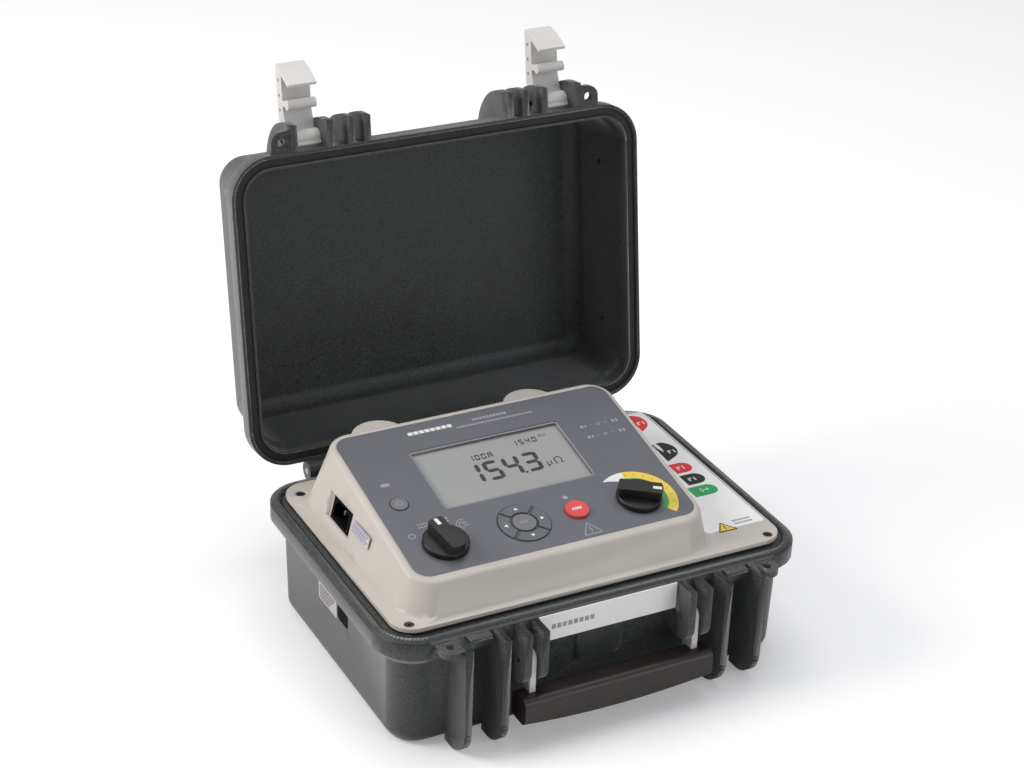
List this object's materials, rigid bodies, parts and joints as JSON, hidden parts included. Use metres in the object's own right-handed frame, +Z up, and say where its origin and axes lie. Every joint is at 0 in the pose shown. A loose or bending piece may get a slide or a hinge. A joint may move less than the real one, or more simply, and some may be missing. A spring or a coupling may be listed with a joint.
{
  "type": "digital low-resistance ohmmeter in a hard carry case",
  "caption": "Portable low-resistance test set in a hinged hard case: sloping console with display, rotary selectors, keypad, side terminals and mains inlet.",
  "frame": {"origin": "centre of the flat bottom of the case", "axes": "+X to the user's right, -Y to the front with the carry handle, +Z up; lid open, leaning back on its stop"},
  "size_m": [0.4, 0.4494, 0.467],
  "materials": {
    "case": "fine moulded grain",
    "seal": "matte",
    "steel_black": "satin",
    "steel": "satin",
    "latch_grey": "satin",
    "grip": "soft satin",
    "label_white": "satin film",
    "label_grey": "satin film",
    "plug_dark": "satin",
    "panel": "fine grain",
    "fascia": "fine textured film",
    "window": "clear",
    "lcd": "satin",
    "board": "satin",
    "dome": "matte",
    "key_dark": "satin",
    "key_grey": "satin",
    "key_red": "satin",
    "lens": "clear",
    "knob": "satin",
    "brass": "turned",
    "switch": "satin",
    "socket_red": "satin",
    "socket_black": "satin",
    "socket_green": "satin",
    "aluminium": "mill finish",
    "battery": "shrink film",
    "core": "laminated",
    "copper": "enamelled wire"
  },
  "bodies": {
    "case": {"base_shell": "case", "hinge_pins": "steel", "handle_pins": "steel", "front_nameplate": "label_white", "side_label": "label_white", "vent_plug": "plug_dark", "panel_moulding": "panel", "panel_gasket": "seal", "deck_screws": "steel_black", "fascia": "fascia", "terminal_label": "label_white", "inlet_label": "label_grey", "lcd_window": "window", "lcd_module": "lcd", "display_board": "board", "key_domes": "dome", "status_lens": "lens", "sensor_lens": "lens", "left_switch": "switch", "right_switch": "switch", "c1_collar": "socket_red", "c2_collar": "socket_black", "p1_collar": "socket_red", "p2_collar": "socket_black", "g_collar": "socket_green", "c1_insert": "brass", "c2_insert": "brass", "p1_insert": "brass", "p2_insert": "brass", "g_insert": "brass", "inlet_body": "plug_dark", "inlet_pins": "steel", "chassis_tray": "aluminium", "battery_pack": "battery", "transformer_core": "core", "transformer_coil": "copper", "heat_sink": "aluminium", "main_board": "board", "board_standoffs": "steel"},
    "lid": {"lid_shell": "case", "lid_seal": "seal", "lid_studs": "steel_black", "latch_pins": "steel"},
    "latch_left": {"latch_left": "latch_grey"},
    "latch_right": {"latch_right": "latch_grey"},
    "handle": {"handle_frame": "latch_grey", "handle_grip": "grip"},
    "left_selector": {"left_knob": "knob", "left_spindle": "brass"},
    "right_selector": {"right_knob": "knob", "right_spindle": "brass"},
    "button_right": {"key_right": "key_dark"},
    "button_up": {"key_up": "key_dark"},
    "button_left": {"key_left": "key_dark"},
    "button_down": {"key_down": "key_dark"},
    "button_ok": {"key_ok": "key_grey"},
    "button_power": {"key_power": "key_grey"},
    "button_test": {"key_test": "key_red"}
  },
  "joints": [
    {"name": "lid_hinge", "type": "hinge", "parent": "case", "child": "lid", "pos_m": [0, 0.1531, 0.1117], "axis": [-1, 0, 0], "range_deg": [-98.2, 0]},
    {"name": "latch_left_pivot", "type": "hinge", "parent": "lid", "child": "latch_left", "pos_m": [-0.1221, 0.21614, 0.40683], "axis": [-1, 0, 0], "range_deg": [-90, 0]},
    {"name": "latch_right_pivot", "type": "hinge", "parent": "lid", "child": "latch_right", "pos_m": [0.1221, 0.21614, 0.40683], "axis": [-1, 0, 0], "range_deg": [-90, 0]},
    {"name": "handle_pivot", "type": "hinge", "parent": "case", "child": "handle", "pos_m": [0, -0.152, 0.08], "axis": [-1, 0, 0], "range_deg": [0, 95]},
    {"name": "left_selector_turn", "type": "hinge", "parent": "case", "child": "left_selector", "pos_m": [-0.1161, -0.06906, 0.15084], "axis": [0, -0.2008, 0.9796], "range_deg": [-150, 30]},
    {"name": "right_selector_turn", "type": "hinge", "parent": "case", "child": "right_selector", "pos_m": [0.0685, -0.06877, 0.1509], "axis": [0, -0.2008, 0.9796], "range_deg": [-60, 100]},
    {"name": "press_right", "type": "slide", "parent": "case", "child": "button_right", "axis": [0, 0.2008, -0.9796], "range_m": [0, 0.0008], "stiffness_N_per_m": 100, "springref_m": -0.002},
    {"name": "press_up", "type": "slide", "parent": "case", "child": "button_up", "axis": [0, 0.2008, -0.9796], "range_m": [0, 0.0008], "stiffness_N_per_m": 100, "springref_m": -0.002},
    {"name": "press_left", "type": "slide", "parent": "case", "child": "button_left", "axis": [0, 0.2008, -0.9796], "range_m": [0, 0.0008], "stiffness_N_per_m": 100, "springref_m": -0.002},
    {"name": "press_down", "type": "slide", "parent": "case", "child": "button_down", "axis": [0, 0.2008, -0.9796], "range_m": [0, 0.0008], "stiffness_N_per_m": 100, "springref_m": -0.002},
    {"name": "press_ok", "type": "slide", "parent": "case", "child": "button_ok", "axis": [0, 0.2008, -0.9796], "range_m": [0, 0.0008], "stiffness_N_per_m": 100, "springref_m": -0.002},
    {"name": "press_power", "type": "slide", "parent": "case", "child": "button_power", "axis": [0, 0.2008, -0.9796], "range_m": [0, 0.0008], "stiffness_N_per_m": 100, "springref_m": -0.002},
    {"name": "press_test", "type": "slide", "parent": "case", "child": "button_test", "axis": [0, 0.2008, -0.9796], "range_m": [0, 0.0012], "stiffness_N_per_m": 100, "springref_m": -0.002}
  ]
}
